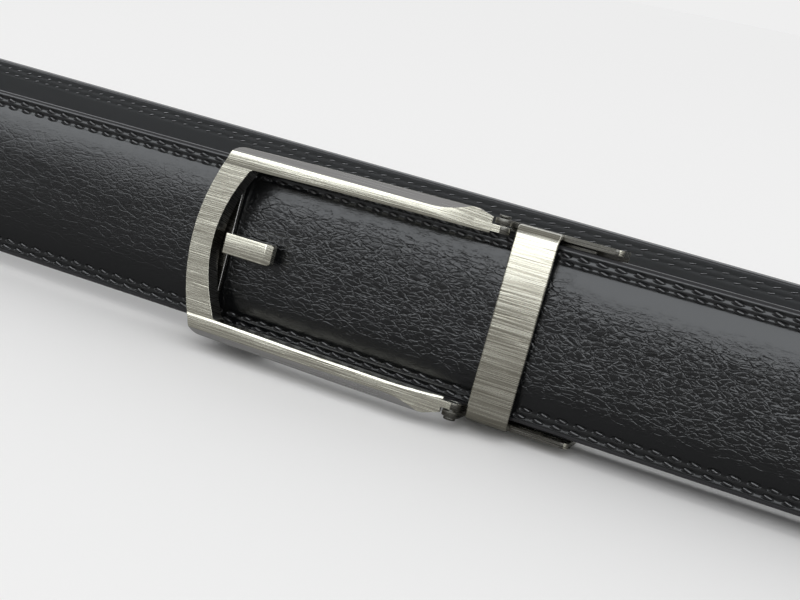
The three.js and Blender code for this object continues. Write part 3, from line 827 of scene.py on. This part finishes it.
def eased_copy(source, name, width, material, slot):
    """A CAD node's shape as one merged mesh with eased edges, which stands in for it.

    The frame's long bevels are polished. Its hinge lugs and the toe bar's wall in the window get the nickel
    painted dark as shade, as do the clamp's ears and the edges of its walls. Eased edges have the piece's
    main finish, except on the housing, whose faces carry that painted shade and whose eased edges get the
    polished nickel as a painted highlight.
    """
    shape = bmesh.new()
    shape.from_mesh(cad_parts[source].data)
    bmesh.ops.remove_doubles(shape, verts=shape.verts, dist=merge_distance)
    bmesh.ops.dissolve_limit(shape, angle_limit=flat_angle, verts=shape.verts, edges=shape.edges)
    shape.normal_update()
    for face in shape.faces:
        middle_x = face.calc_center_median().x
        frontal = face.normal.dot(buckle_front)
        # Material 2 is the nickel painted dark as shade: on the frame's hinge lugs and faces turned toward
        # +X, and on the clamp's ears and front-facing wall edges.
        dark = bevel = False
        if source == "buckle_frame":
            dark = middle_x > heel_end or face.normal.x > 0.5
            bevel = abs(face.normal.x) < 0.2 and 0.5 < frontal < 0.95
        elif source == "clamp_body":
            dark = middle_x < ears_end or frontal > 0.9
        face.material_index = 2 if dark else 1 if bevel else 0
    mesh = bpy.data.meshes.new(name)
    shape.to_mesh(mesh)
    shape.free()
    mesh.materials.append(material)
    if source in ("buckle_frame", "clamp_body", "ratchet_housing"):
        mesh.materials.append(polished_and_painted_highlight_nickel)
        mesh.materials.append(painted_shade_nickel)
    mesh.shade_smooth()
    piece = bpy.data.objects.new(name, mesh)
    bpy.context.scene.collection.objects.link(piece)
    easing = piece.modifiers.new("Eased edges", "BEVEL")
    easing.width = width
    easing.segments = 3
    # On the housing the eased edges take the polished nickel as a painted highlight along its painted-shade
    # faces.
    easing.material = 1 if source == "ratchet_housing" else 0
    easing.limit_method = "ANGLE"
    easing.angle_limit = easing_angle
    flats = piece.modifiers.new("Flat faces", "WEIGHTED_NORMAL")
    flats.weight = 100
    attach(piece, "root")
    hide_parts(source)


# The housing, lever, jaw and pins all take the nickel painted dark as shade.
for source, name, width, material, slot in (
    ("buckle_frame", "frame_casting", 0.0003, frame_nickel, "brushed_nickel"),
    ("prong_stub", "prong_casting", 0.00028, prong_nickel, "brushed_nickel"),
    ("keeper", "keeper_band", 0.0004, keeper_nickel, "brushed_nickel"),
    ("clamp_body", "clamp_channel", 0.00015, nickel, "brushed_nickel"),
    ("ratchet_housing", "housing_pressing", 0.00012, painted_shade_nickel, "dark_nickel"),
    ("release_lever", "lever_pressing", 0.00025, painted_shade_nickel, "dark_nickel"),
    ("clamp_jaw", "jaw_plate", 0.00008, painted_shade_nickel, "dark_nickel"),
    ("hinge_pin_top", "pin_top", 0.00012, painted_shade_nickel, "dark_nickel"),
    ("hinge_pin_bottom", "pin_bottom", 0.00012, painted_shade_nickel, "dark_nickel"),
):
    eased_copy(source, name, width, material, slot)


# Studio
# A pale sheet under the belt runs to the horizon, where the backdrop has the same tone. Its light is even,
# while glossy surfaces mirror a dim room with one wide soft panel in front, above the horizon.
paper = 0.863
mirrored_paper = 0.28
surround = 0.98
panel_strength = 2.85
panel_low = (0.25, 0.30)
panel_high = (0.66, 0.58)
panel_tint = (0.04, 0.08)
room_tones = (0.38, 0.30)
sheet = 30.0
floor_mesh = bpy.data.meshes.new("floor")
floor_mesh.from_pydata(
    [(-sheet, -sheet, 0), (sheet, -sheet, 0), (sheet, sheet, 0), (-sheet, sheet, 0)], [], [(0, 1, 2, 3)])
floor = bpy.data.objects.new("floor", floor_mesh)
bpy.context.scene.collection.objects.link(floor)
floor_finish, tree, shader = finish_material("floor_paper", (paper, paper, paper), 1.0)
shader.inputs["Specular IOR Level"].default_value = 0.0
mirrored = node(tree, "ShaderNodeLightPath").outputs["Is Glossy Ray"]
floor_tone = node(tree, "ShaderNodeMix", {
    "Factor": mirrored,
    6: (paper, paper, paper, 1),
    7: (mirrored_paper, mirrored_paper, mirrored_paper, 1),
}, data_type="RGBA")
tree.links.new(floor_tone.outputs[2], shader.inputs["Base Color"])
floor_mesh.materials.append(floor_finish)
floor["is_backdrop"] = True

world = bpy.data.worlds.new("studio")
bpy.context.scene.world = world
world.use_nodes = True
tree = world.node_tree
backdrop = tree.nodes["Background"]
ray = node(tree, "ShaderNodeLightPath").outputs
direction = node(tree, "ShaderNodeSeparateXYZ", {0: node(tree, "ShaderNodeTexCoord").outputs["Generated"]})
to_front = calc(tree, "MULTIPLY", direction.outputs[1], -1.0)
rise = direction.outputs[2]
facing = ramp(tree, to_front, -0.15, 0.55, 0.30, 1.0)
panel = calc(tree, "MULTIPLY", ramp(tree, rise, *panel_low), ramp(tree, rise, *panel_high))
panel = calc(tree, "MULTIPLY", panel, calc(tree, "MULTIPLY", facing, panel_strength))
room = calc(tree, "ADD", ramp(tree, rise, 0.05, 0.5, *room_tones), panel)
mirrored_room = node(tree, "ShaderNodeCombineColor", {
    0: room,
    1: calc(tree, "MULTIPLY_ADD", panel, panel_tint[0], room),
    2: calc(tree, "MULTIPLY_ADD", panel, panel_tint[1], room),
}).outputs[0]
tone = node(tree, "ShaderNodeMix", {
    "Factor": ray["Is Glossy Ray"],
    6: (surround, surround, surround, 1),
    7: mirrored_room,
}, data_type="RGBA")
seen = node(tree, "ShaderNodeMix", {
    "Factor": ray["Is Camera Ray"],
    6: tone.outputs[2],
    7: (paper, paper, paper, 1),
}, data_type="RGBA")
tree.links.new(seen.outputs[2], backdrop.inputs["Color"])

key = bpy.data.lights.new("key_light", "AREA")
key.shape = "RECTANGLE"
key.size, key.size_y = 0.9, 0.5
key.energy = 1.0
key_light = bpy.data.objects.new("key_light", key)
key_light.location = (0.15, -0.8, 0.8)
key_light.rotation_euler = (-key_light.location).to_track_quat("-Z", "Y").to_euler()
key_light.visible_glossy = False
bpy.context.scene.collection.objects.link(key_light)

bpy.context.scene.view_settings.view_transform = "Standard"

low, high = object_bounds()
{"cad": [list(cad_low), list(cad_high)], "visual": [list(low), list(high)]}
